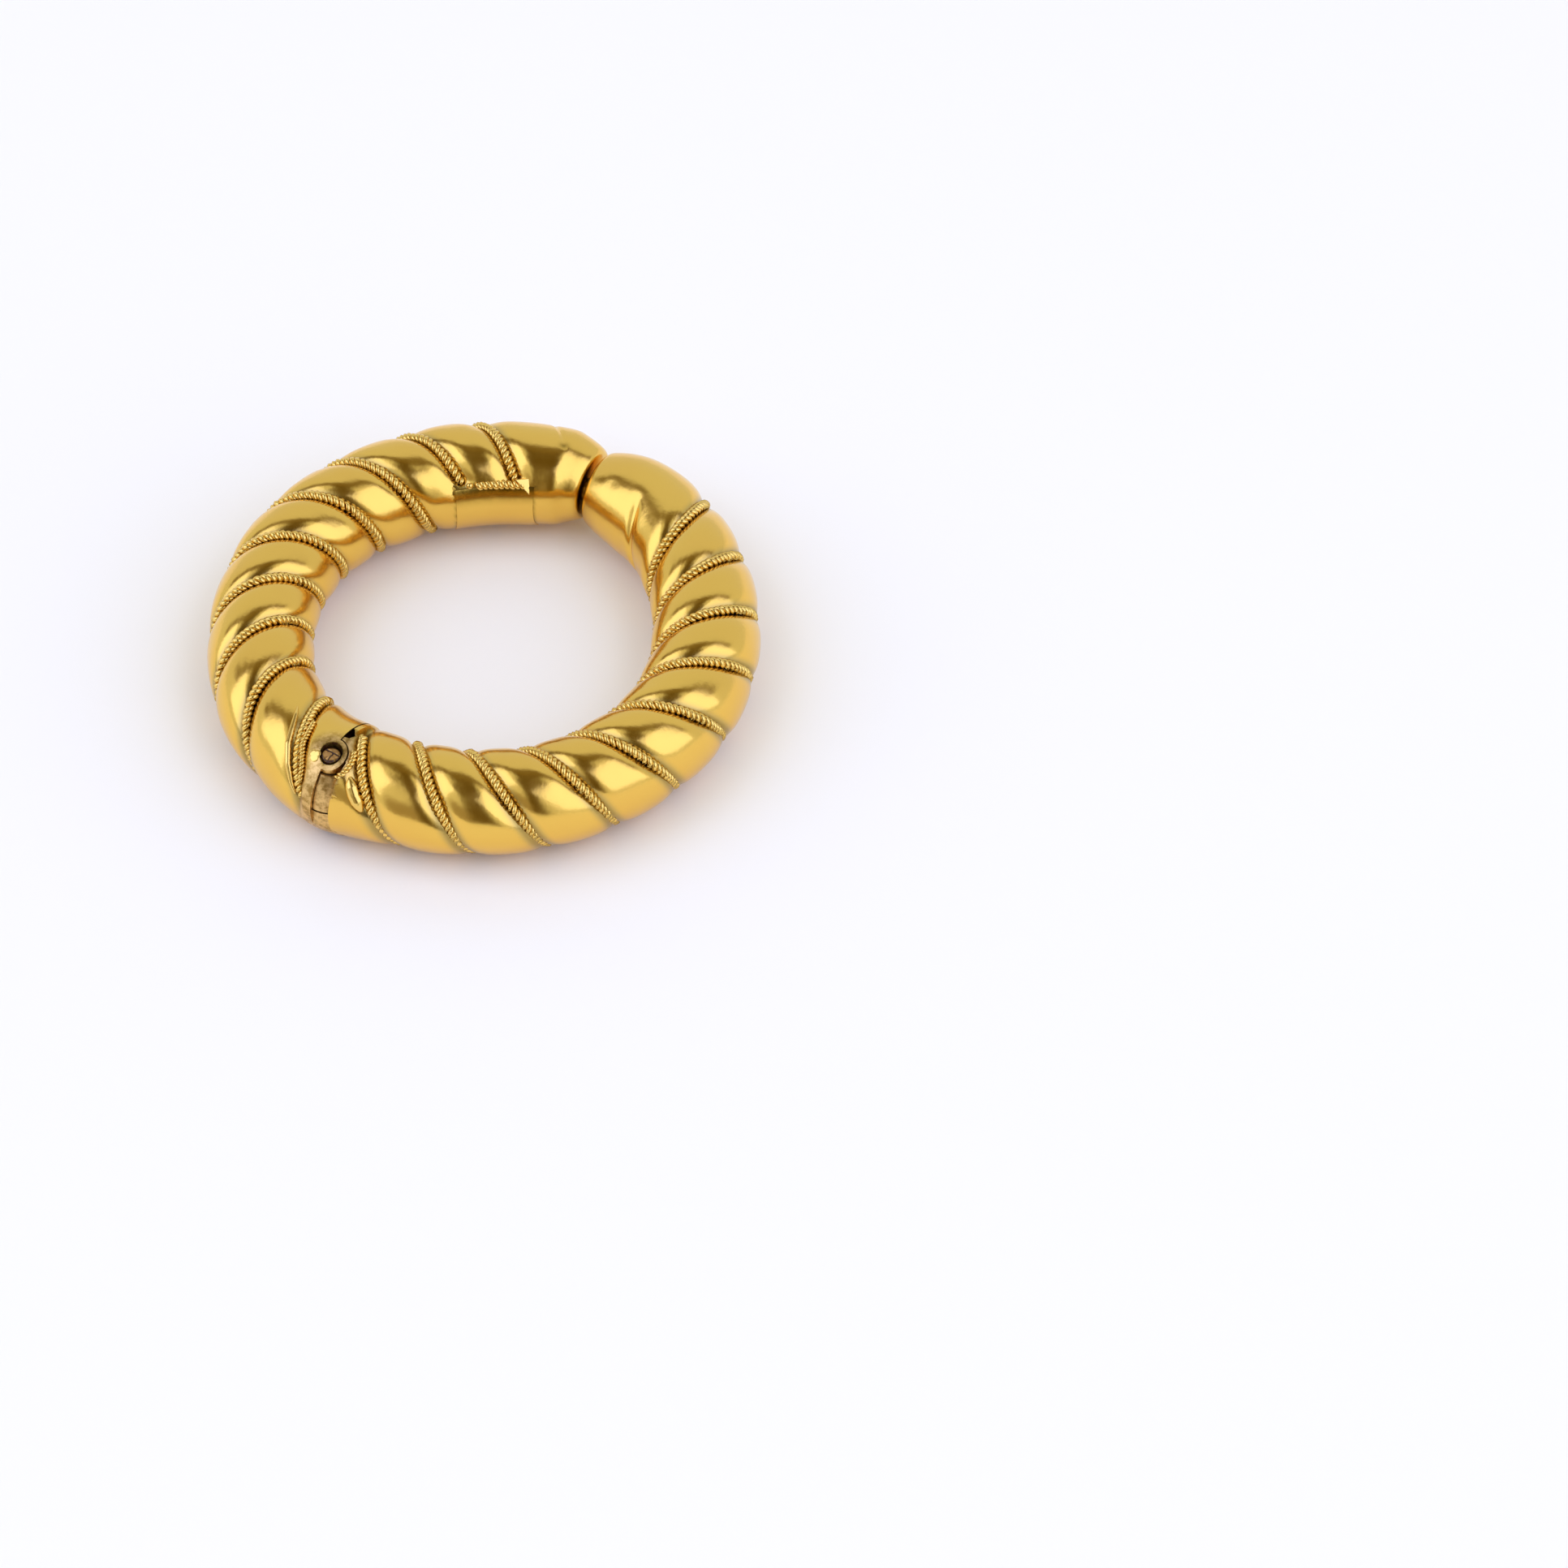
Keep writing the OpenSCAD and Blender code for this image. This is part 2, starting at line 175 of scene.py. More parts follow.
def twist(wires, ring, around):
    """Share of the relief at a place: bands beside the caps and the hinge keep their outer half plain."""
    back, last = wires is BACK_WIRES, len(wires) - 1
    a = seen_side(around)
    w = band_of(wires, ring, a)
    shows = within(a, SIDES_SHOW)
    past_clasp = w > -0.5 if back else w < last + 0.5
    past_hinge = 1 - ease(ramp(w - last if back else -w, *LAST_GROOVE))
    below = OUTER_SHARE * (1 - shows)
    shows = shows * (OUTER_SHARE + (1 - OUTER_SHARE) * ease(ramp(a, *OUTER_SIDE)))
    return (shows * past_clasp * past_hinge * within(ring, BACK_RELIEF if back else FRONT_RELIEF)
            + below * within(ring, BACK_RELIEF_BELOW if back else FRONT_RELIEF_BELOW))


def plate(wires, ring, around):
    """1 under the soldered plate."""
    return within(ring, PLATE_RING) * within(around, PLATE_ROUND) * (wires is BACK_WIRES)


def end_groove(wires, ring, around):
    """Shallow groove without a wire, which runs out on each plain end."""
    a = seen_side(around)
    w = band_of(wires, ring, a)
    if wires is BACK_WIRES:
        return 0.07 * np.exp(-((w + 1) / 0.04) ** 2) * within(a, (-40, 10, 88, 100))
    return 0.13 * np.exp(-((w - len(wires)) / 0.09) ** 2) * within(a, (108, 135, 190, 225))


def dents(ring, around, seed):
    """Shallow knocks and the slight unevenness of hand-worked sheet."""
    rng = np.random.default_rng(seed)
    out = 0.0 * ring
    for _ in range(70):
        r0, a0 = rng.uniform(92, 448), rng.uniform(0, 360)
        wide, deep = rng.uniform(0.35, 1.1), rng.uniform(0.004, 0.03)
        dx = (ring - r0) * MM_ALONG
        dy = ((around - a0 + 180) % 360 - 180) * MM_ROUND
        out -= deep * np.exp(-(dx**2 + dy**2) / (wide / 1.6) ** 2)
    for k in range(9):
        f1, f2, ph = rng.uniform(4, 16), rng.integers(1, 5), rng.uniform(0, 6.28)
        out += 0.004 * np.sin(np.radians(ring) * f1 + np.radians(around) * f2 + ph)
    return out


def plain_r(ring):
    return TUBE_R + smooth_at(2, ring)


# Where the columns of one band stand, as shares of its width, closer beside the wires
BAND = [0, 0.03, 0.046, 0.053, 0.06, 0.068, 0.085, 0.12, 0.16, 0.2, 0.25, 0.31, 0.37, 0.44, 0.5]
BAND = BAND + [1 - b for b in reversed(BAND[1:-1])]
SIDES = 128


def new_mesh(name, bm, smooth=40):
    bmesh.ops.recalc_face_normals(bm, faces=bm.faces)
    me = bpy.data.meshes.new(name)
    bm.to_mesh(me)
    bm.free()
    me.polygons.foreach_set("use_smooth", [True] * len(me.polygons))
    me.set_sharp_from_angle(angle=math.radians(smooth))
    ob = bpy.data.objects.new(name, me)
    bpy.context.scene.collection.objects.link(ob)
    return ob


def sheet(columns, rows, place, dirt_and_shade=None):
    """A grid whose vertex in column i and row j lies at place(i, j), in millimetres, with its dirt and
    painted shade given by the function passed as the fourth argument.
    """
    bm = bmesh.new()
    bmesh.ops.create_grid(bm, x_segments=columns - 1, y_segments=rows - 1, size=0.5)
    co = np.array([v.co[:2] for v in bm.verts]) + 0.5
    i, j = np.rint(co[:, 0] * (columns - 1)).astype(int), np.rint(co[:, 1] * (rows - 1)).astype(int)
    for v, p in zip(bm.verts, place(i, j) * MM):
        v.co = p
    if dirt_and_shade:
        grime_and_shade = bm.verts.layers.float.new("grime_and_shade")
        for v, g in zip(bm.verts, dirt_and_shade(i, j)):
            v[grime_and_shade] = g
    return bm


def skin(wires, low_rings, high_rings, seed, clasp_low):
    """One half's metal: outer skin, end disc with the post's hole, and the hollow behind it."""
    n = len(wires)
    w = np.array([k + b for k in range(-2, n + 2) for b in BAND])
    low, high = low_rings[-1], high_rings[0]
    face = low_rings[0] if clasp_low else high_rings[-1]
    into = 1 if clasp_low else -1
    hole = POST_R + POST_PLAY
    back = face + into * END_DISC
    stop = BACK_HOLLOW_END if clasp_low else FRONT_HOLLOW_END
    # Kind of each column: 0 plain ring, 1 follows the wires, 2 given radius about the post's line
    cols = [(0, t, 0.0) for t in low_rings] + [(1, x, 0.0) for x in w] + [(0, t, 0.0) for t in high_rings]
    inner = [(2, face, hole), (2, back, hole)]
    inner += [(3, t, WALL) for t in np.linspace(back, stop, 26)]
    inner += [(4, stop, 0.0)]
    if clasp_low:
        cols = list(reversed(inner)) + cols + [(4, high_rings[-1], 0.0)]
    else:
        cols = [(4, low_rings[0], 0.0)] + cols + inner
    kind, value, size = (np.array(c) for c in zip(*cols))

    def place(i, j):
        around = 360.0 * j / SIDES
        k, v = kind[i], value[i]
        ring = np.where(k == 1, np.clip(ring_of(wires, v, around), low, high), v)
        f = band_of(wires, ring, around) % 1.0
        bands = relief(f) * twist(wires, ring, around) * (1 - plate(wires, ring, around))
        away = np.abs(ring - face) * math.radians(RING_R)
        r = plain_r(ring) + bands + dents(ring, around, seed) - end_groove(wires, ring, around) - rim(away)
        r = np.where(k == 2, size[i], r)
        r = np.where(k == 3, plain_r(ring) - WALL, r)
        r = np.where(k == 4, 0.0, r)
        shift = np.where(k == 2, POST_AT - RING_R - smooth_at(1, ring), 0.0)
        return spot(ring, around, r, shift)

    bm = sheet(len(cols), SIDES + 1, place)
    bmesh.ops.remove_doubles(bm, verts=bm.verts, dist=2e-7)
    return bm


# Length over which each clasp end rounds over, and how far it draws in
RIM_LEN = 0.25
RIM_DROP = 0.2


def rim(away):
    s = np.clip(away / RIM_LEN, 0, 1)
    return RIM_DROP * (1 - np.sqrt(np.clip(1 - (1 - s) ** 2, 0, 1)))


def end_rings(face, into, stop):
    """Plain rings from a clasp face inwards, close together at the rim."""
    away = np.array([0, 0.01, 0.03, 0.06, 0.1, 0.15, 0.2, 0.25, 0.33, 0.45]) / math.radians(RING_R)
    rings = face + into * np.concatenate([away, np.arange(3.1, abs(stop - face), 0.7), [abs(stop - face)]])
    return list(rings if into > 0 else rings[::-1])


# Hinge frame: x out from the pin, y along the hoop into the front half, z from the tube's middle
HINGE = (Matrix.Translation(Vector((-CENTRE[0], -CENTRE[1], MID_Z)))
         @ Matrix.Rotation(math.radians(HINGE_AT), 4, "Z") @ Matrix.Translation(Vector((PIN_OUT, 0, 0))))
HINGE_GAP = 0.06
HALF_SEAM = 0.03
TOP_KNUCKLE_R = 0.75
LOW_KNUCKLE_R = 1.6
# The rivet and its heads, the sinks for them, the filed strip's width, and the height of the notch's floor
RIVET_R, HEAD_R = 0.35, 0.44
SINK_R, SINK_Z = 0.54, 2.0
STRIP = 0.86
NOTCH_Z = 2.1
# Heights between which the middle knuckle lies, and its radius on the way up
FOOT_Z, TOP_Z = 0.07, 1.8
MIDDLE = [(FOOT_Z, 1.56), (0.7, 1.46), (1.3, 1.22), (TOP_Z, 0.86)]
# Reach of a cutting tool beyond the tube
BIG = 12.0


def raised(bm, face):
    """The new points of a face that is drawn out into a solid."""
    made = bmesh.ops.extrude_face_region(bm, geom=[face])["geom"]
    return [v for v in made if isinstance(v, bmesh.types.BMVert)]


def lathe(profile, steps=96):
    """A closed turned solid about the pin's axis, from a profile of radius and height."""
    bm = bmesh.new()
    pts = [(0, profile[0][1])] + list(profile) + [(0, profile[-1][1])]
    vs = [bm.verts.new((r, 0, z)) for r, z in pts]
    es = [bm.edges.new(p) for p in zip(vs, vs[1:])]
    bmesh.ops.spin(bm, geom=vs + es, cent=(0, 0, 0), axis=(0, 0, 1), angle=2 * math.pi, steps=steps,
                   use_merge=True)
    bmesh.ops.remove_doubles(bm, verts=bm.verts, dist=1e-5)
    return bm


def disc(r, low, high):
    return lathe([(r, low), (r, high)])


def block(x, y):
    bm = bmesh.new()
    bmesh.ops.create_cube(bm, size=1.0)
    bmesh.ops.scale(bm, verts=bm.verts, vec=(x[1] - x[0], y[1] - y[0], BIG))
    bmesh.ops.translate(bm, verts=bm.verts, vec=((x[0] + x[1]) / 2, (y[0] + y[1]) / 2, 0))
    return bm


def tool(bm, name):
    bmesh.ops.transform(bm, matrix=Matrix.Scale(MM, 4) @ HINGE, verts=bm.verts)
    return new_mesh(name, bm)


def middle_knuckle(more):
    pts = [(r + more, z - more if z == FOOT_Z else z + more if z == TOP_Z else z) for z, r in MIDDLE]
    return lathe(pts)


def combine(target, other, operation):
    """Cuts or joins other with target, and removes other."""
    m = target.modifiers.new("hinge", "BOOLEAN")
    m.operation, m.solver, m.object = operation, "MANIFOLD", other
    bpy.context.view_layer.update()
    made = bpy.data.meshes.new_from_object(target.evaluated_get(bpy.context.evaluated_depsgraph_get()))
    target.modifiers.clear()
    old, target.data = target.data, made
    bpy.data.meshes.remove(old)
    bpy.data.objects.remove(other)
    return target


def prism(points, low, high):
    bm = bmesh.new()
    face = bm.faces.new([bm.verts.new((x, y, low)) for x, y in points])
    bmesh.ops.translate(bm, verts=raised(bm, face), vec=(0, 0, high - low))
    return bm


# Outline of the dark notch on the seam, in the hinge frame
NOTCH = [(-0.99, 0), (-1.73, 0), (-1.73, 0.09), (-1.39, 0.34), (-1.06, 0.26)]


def cut_back(ob):
    cut = tool(block((-9, 4), (-HALF_SEAM, 5)), "cut")
    combine(cut, tool(disc(LOW_KNUCKLE_R, -BIG, FOOT_Z - HINGE_GAP), "t"), "DIFFERENCE")
    combine(cut, tool(disc(TOP_KNUCKLE_R, TOP_Z + HINGE_GAP, BIG), "t"), "DIFFERENCE")
    combine(cut, tool(middle_knuckle(HINGE_GAP), "t"), "UNION")
    combine(cut, tool(disc(SINK_R, SINK_Z, BIG), "t"), "UNION")
    combine(cut, tool(disc(SINK_R, -BIG, -SINK_Z), "t"), "UNION")
    return combine(ob, cut, "DIFFERENCE")


def cut_front(ob):
    cut = tool(block((-9, 4), (-5, HALF_SEAM)), "cut")
    combine(cut, tool(block((0, 4), (-5, STRIP)), "t"), "UNION")
    combine(cut, tool(disc(LOW_KNUCKLE_R + HINGE_GAP, -BIG, FOOT_Z), "t"), "UNION")
    combine(cut, tool(disc(TOP_KNUCKLE_R + HINGE_GAP, TOP_Z, BIG), "t"), "UNION")
    combine(cut, tool(middle_knuckle(0), "t"), "DIFFERENCE")
    combine(cut, tool(prism(NOTCH, NOTCH_Z, 6), "t"), "UNION")
    return combine(ob, cut, "DIFFERENCE")


# Two-strand rope wires: radius of the rope, its centre below the plain skin, and one turn of its twist
ROPE_R = 0.25
ROPE_SINK = -0.27
LAY = 0.56


def over_hinge(x, y):
    """Ring angle and angle round the tube of the skin above places in the hinge frame."""
    a = math.radians(HINGE_AT)
    east = (PIN_OUT + x) * math.cos(a) - y * math.sin(a)
    north = (PIN_OUT + x) * math.sin(a) + y * math.cos(a)
    ring = np.degrees(np.arctan2(north, east)) % 360
    reach = np.hypot(east, north) - RING_R - smooth_at(1, ring)
    return ring, np.degrees(np.arccos(np.clip(reach / plain_r(ring), -1, 1)))


def wobble(s, step, seed):
    """Smooth random unevenness of hand-made wire, between about -1 and 1."""
    knots = np.arange(0, s[-1] + 2 * step, step)
    return np.interp(s, knots, np.random.default_rng(seed).uniform(-1, 1, len(knots)))


def follow(ring, around, sink, step):
    """Even steps along a path on the skin: distance, points and the outward direction at each."""
    ring, around = np.asarray(ring, float), np.asarray(around, float)
    centre = spot(ring, around, plain_r(ring) + sink)
    mid = spot(ring, around, 0 * ring)
    s = np.concatenate([[0], np.cumsum(np.linalg.norm(np.diff(centre, axis=0), axis=1))])
    fine = np.linspace(0, s[-1], int(s[-1] / step) + 2)
    c = np.stack([np.interp(fine, s, centre[:, k]) for k in range(3)], -1)
    m = np.stack([np.interp(fine, s, mid[:, k]) for k in range(3)], -1)
    up = (c - m) / np.linalg.norm(c - m, axis=1)[:, None]
    return fine, c, up


def join(out, bm, name):
    """Adds the small mesh bm to the larger mesh out."""
    me = bpy.data.meshes.new(name)
    bm.to_mesh(me)
    bm.free()
    out.from_mesh(me)
    bpy.data.meshes.remove(me)


def strand(out, line, fat, middle, up, reach, sides):
    """One round strand added to a mesh, with dirt and painted shade low down and near the middle of what it
    is laid in.
    """
    t = np.gradient(line, axis=0)
    t /= np.linalg.norm(t, axis=1)[:, None]
    one = np.cross(t, [0, 0, 1.0])
    one /= np.linalg.norm(one, axis=1)[:, None]
    two = np.cross(t, one)
    fat = fat.copy()
    fat[[0, -1]] = 0

    def place(i, j):
        a = 2 * math.pi * j / sides
        return line[i] + fat[i][:, None] * (np.cos(a)[:, None] * one[i] + np.sin(a)[:, None] * two[i])

    # Painted shade and dirt on the strand's underside and deep between the two strands
    def dirt_and_shade(i, j):
        off = place(i, j) - middle[i]
        away = np.linalg.norm(off, axis=1)
        deep = 0 if line is middle else 0.6 * (1 - ramp(away, 0.45 * reach, 0.75 * reach))
        under = 0.6 * (1 - ramp((off * up[i]).sum(1), -0.6 * reach, -0.1 * reach))
        return np.maximum(deep, under)

    join(out, sheet(len(line), sides + 1, place, dirt_and_shade), "strand")


def lay_rope(out, ring, around, radius, sink, lay, seed):
    """Two strands twisted together along a path on the skin, a little uneven."""
    s, c, up = follow(ring, around, sink, lay / 12)
    t = np.gradient(c, axis=0)
    t /= np.linalg.norm(t, axis=1)[:, None]
    side = np.cross(t, up)
    turn = 2 * math.pi * s / lay + 0.8 * wobble(s, 1.6 * lay, seed)
    tight = 1 - ramp(np.minimum(s, s[-1] - s), 0.15, 0) * 0.85
    for k in (0, 1):
        fat = 0.5 * radius * (1.04 + 0.13 * wobble(s, 0.5 * lay, seed + 1 + k)) * tight
        reach = 0.5 * radius * (1 + 0.10 * wobble(s, 0.7 * lay, seed + 3 + k))
        a = turn + k * math.pi
        line = c + (reach * np.cos(a))[:, None] * up + (reach * np.sin(a))[:, None] * side
        strand(out, line, fat, c, up, radius, 6)


def lay_wire(out, ring, around, radius, sink):
    """One plain wire along a path on the skin, drawn out thin at its ends."""
    s, c, up = follow(ring, around, sink, 0.04)
    ends = np.sqrt(np.clip(np.minimum(s, s[-1] - s) / (0.3 * s[-1]), 0, 1))
    strand(out, c, radius * ends, c, up, radius, 12)


def wind_ropes(out, wires, low, high, clear):
    """Every winding of the two ropes of one half, broken where clear says so."""
    n = len(wires)
    for start in (0, 1):
        around = np.arange(90 - 180 * 4, 90 + 180 * (n + 4), 1.5)
        # The band number falls as the angle round the tube grows, so the line starts at the high end
        ring = ring_of(wires, start + n + 3.0 - (n + 3.0) % 2, around)
        free = (ring > low) & (ring < high) & ~clear(ring, around % 360)
        # No rope where there is no groove for it
        free &= twist(wires, ring, around % 360) > 0.15
        ends = np.flatnonzero(np.diff(np.concatenate([[0], free.astype(int), [0]])))
        for a, b in zip(ends[::2], ends[1::2]):
            if b - a > 12:
                # The rope lies almost flush with the skin on the outer side
                sink = ROPE_SINK - 0.08 * within(seen_side(around[a:b] % 360), WORN_SIDE)
                lay_rope(out, ring[a:b], around[a:b], ROPE_R, sink, LAY, 10 * int(a) + start)


def pad(out, corners):
    """A small flat piece of solder: ring angle, angle round the tube and height of each corner."""
    bm = bmesh.new()
    ring, around, rise = np.array(corners, float).T
    deep = spot(ring, around, plain_r(ring) + rise - 0.3) * MM
    high = spot(ring, around, plain_r(ring) + rise) * MM
    face = bm.faces.new([bm.verts.new(p) for p in deep])
    bmesh.ops.translate(bm, verts=raised(bm, face), vec=(high - deep).mean(0))
    bmesh.ops.bevel(bm, geom=list(bm.edges), offset=0.035 * MM, affect="EDGES", segments=3, profile=0.5,
                    material=-1)
    join(out, bm, "pad")


def drop(out, ring, around, wide, high):
    """A low round drop of solder on the skin."""
    bm = bmesh.new()
    bmesh.ops.create_uvsphere(bm, u_segments=20, v_segments=12, radius=1.0)
    base, top = spot(ring, around, plain_r(ring)), spot(ring, around, plain_r(ring) + 1)
    turn = Vector(top - base).to_track_quat("Z", "Y").to_matrix().to_4x4()
    size = Matrix.Diagonal((wide * MM, wide * MM, high * MM, 1))
    bmesh.ops.transform(bm, matrix=Matrix.Translation(Vector(base) * MM) @ turn @ size, verts=bm.verts)
    join(out, bm, "drop")


def make_plate():
    """The thin plate soldered over the joint on the back half's inner side, as one closed slab."""
    low, high = PLATE_RING[1], PLATE_RING[2]
    along = np.linspace(low + 0.8, high - 0.8, 40)
    ring = np.array([low, low, low + 0.25, *along, high - 0.25, high, high])
    across = np.array([149, 149.5, 151, *np.linspace(153, 225, 34), 227, 228.5, 229])
    around = np.concatenate([across, across[::-1], across[:1]])
    edge = np.minimum(np.abs(across - across[0]), np.abs(across - across[-1]))
    rise = np.concatenate([0.045 * np.sqrt(ramp(edge, 0, 2)), -0.1 + 0 * across, [0]])
    inside = np.ones(len(ring))
    inside[[0, -1]] = 0

    def place(i, j):
        a = 189 + (around[j] - 189) * inside[i]
        return spot(ring[i], a, plain_r(ring[i]) - 0.05 + (rise[j] + 0.05) * inside[i])

    def dirt_and_shade(i, j):
        return 0.75 * (1 - ease(ramp(around[j], 152, 176)))

    bm = sheet(len(ring), len(around), place, dirt_and_shade)
    bmesh.ops.remove_doubles(bm, verts=bm.verts, dist=1e-7)
    return new_mesh("inner_plate", bm, smooth=50)


def hexa(code):
    """Linear colour of an sRGB hex value."""
    c = [int(code[i:i + 2], 16) / 255 for i in (0, 2, 4)]
    return (*[x / 12.92 if x <= 0.04045 else ((x + 0.055) / 1.055) ** 2.4 for x in c], 1.0)


def add(tree, kind, inputs=None, links=(), **settings):
    """One node with its settings, its input values and the links into it."""
    n = tree.nodes.new(kind)
    for k, v in settings.items():
        setattr(n, k, v)
    for k, v in (inputs or {}).items():
        n.inputs[k].default_value = v
    for socket, source in links:
        tree.links.new(source, n.inputs[socket])
    return n


def gold(name, yellow, rosy, rough, marked=False):
    """Worked gold: a drifting tone, fine unevenness, and where it is marked, dirt and painted shade,
    tarnish and filed solder.
    """
    mat = bpy.data.materials.new(name)
    mat.use_nodes = True
    t = mat.node_tree
    t.nodes.clear()
    out = add(t, "ShaderNodeOutputMaterial")
    at = add(t, "ShaderNodeTexCoord").outputs["Object"]
    # The colour drifts a little over a few millimetres
    drift = add(t, "ShaderNodeTexNoise", {"Scale": 260.0, "Detail": 3.0}, [("Vector", at)])
    tone = add(t, "ShaderNodeMapRange", {"From Min": 0.35, "From Max": 0.75, "To Min": 0.0, "To Max": 0.45},
               [("Value", drift.outputs["Fac"])])
    colour = add(t, "ShaderNodeMix", {"A": hexa(yellow), "B": hexa(rosy)}, [("Factor", tone.outputs[0])],
                 data_type="RGBA").outputs["Result"]
    fine = add(t, "ShaderNodeTexNoise", {"Scale": 1400.0, "Detail": 4.0}, [("Vector", at)])
    dull = add(t, "ShaderNodeMapRange", {"To Min": rough - 0.06, "To Max": rough + 0.08},
               [("Value", fine.outputs["Fac"])]).outputs[0]
    height = add(t, "ShaderNodeTexNoise", {"Scale": 5200.0, "Detail": 2.0}, [("Vector", at)]).outputs["Fac"]
    bump = add(t, "ShaderNodeBump", {"Strength": 0.12, "Distance": 0.00003})
    shade = add(t, "ShaderNodeBsdfPrincipled", {"Metallic": 1.0}, [("Normal", bump.outputs["Normal"])])
    if marked:
        warm = add(t, "ShaderNodeAttribute", attribute_name="warm").outputs["Fac"]
        # Filed solder at the hinge: blotchy between rosy and brown, with file marks about 0.2 mm apart
        blotch = add(t, "ShaderNodeTexNoise", {"Scale": 2600.0, "Detail": 4.0, "Roughness": 0.65},
                     [("Vector", at)]).outputs["Fac"]
        stain = add(t, "ShaderNodeMapRange", {"From Min": 0.42, "From Max": 0.62}, [("Value", blotch)])
        filed = add(t, "ShaderNodeMix", {"A": hexa("E3BC78"), "B": hexa("9E783C")},
                    [("Factor", stain.outputs[0])], data_type="RGBA").outputs["Result"]
        colour = add(t, "ShaderNodeMix", {}, [("Factor", warm), ("A", colour), ("B", filed)],
                     data_type="RGBA").outputs["Result"]
        rough_there = add(t, "ShaderNodeMath", {}, [(0, blotch), (1, warm)], operation="MULTIPLY")
        height = add(t, "ShaderNodeMath", {1: 9.0}, [(0, rough_there.outputs[0]), (2, height)],
                     operation="MULTIPLY_ADD").outputs[0]
        dull = add(t, "ShaderNodeMath", {1: 0.18}, [(0, warm), (2, dull)],
                   operation="MULTIPLY_ADD").outputs[0]
        # The metal beside the crevices is a little tarnished, so its reflections there turn less orange
        tarnish = add(t, "ShaderNodeAttribute", attribute_name="tarnish").outputs["Fac"]
        colour = add(t, "ShaderNodeMix", {"B": hexa("C2A45C")}, [("Factor", tarnish), ("A", colour)],
                     data_type="RGBA").outputs["Result"]
        # Dirt and painted shade lie in uneven patches, in brown
        patchiness = add(t, "ShaderNodeMapRange",
                     {"From Min": 0.35, "From Max": 0.55, "To Min": 0.7, "To Max": 1.0},
                     [("Value", blotch)])
        grime_and_shade = add(t, "ShaderNodeAttribute", attribute_name="grime_and_shade").outputs["Fac"]
        grime_and_shade = add(t, "ShaderNodeMath", {}, [(0, grime_and_shade), (1, patchiness.outputs[0])], operation="MULTIPLY",
                    use_clamp=True).outputs[0]
        colour = add(t, "ShaderNodeMix", {"B": hexa("7C6018")}, [("Factor", grime_and_shade), ("A", colour)],
                     data_type="RGBA").outputs["Result"]
        # Only where dirt is caked and the painted shade is deepest, in the sink, the notch and on the
        # rivet's head, does it hide the metal under near-black brown
        caked_and_deep_shade = add(t, "ShaderNodeMapRange", {"From Min": 0.82, "From Max": 0.92},
                    [("Value", grime_and_shade)]).outputs[0]
        colour = add(t, "ShaderNodeMix", {"B": hexa("3A1C0A")}, [("Factor", caked_and_deep_shade), ("A", colour)],
                     data_type="RGBA").outputs["Result"]
        bare_metal = add(t, "ShaderNodeMapRange", {"To Min": 1.0, "To Max": 0.0}, [("Value", caked_and_deep_shade)])
        t.links.new(bare_metal.outputs[0], shade.inputs["Metallic"])
    t.links.new(height, bump.inputs["Height"])
    t.links.new(colour, shade.inputs["Base Color"])
    t.links.new(dull, shade.inputs["Roughness"])
    t.links.new(shade.outputs[0], out.inputs["Surface"])
    return mat


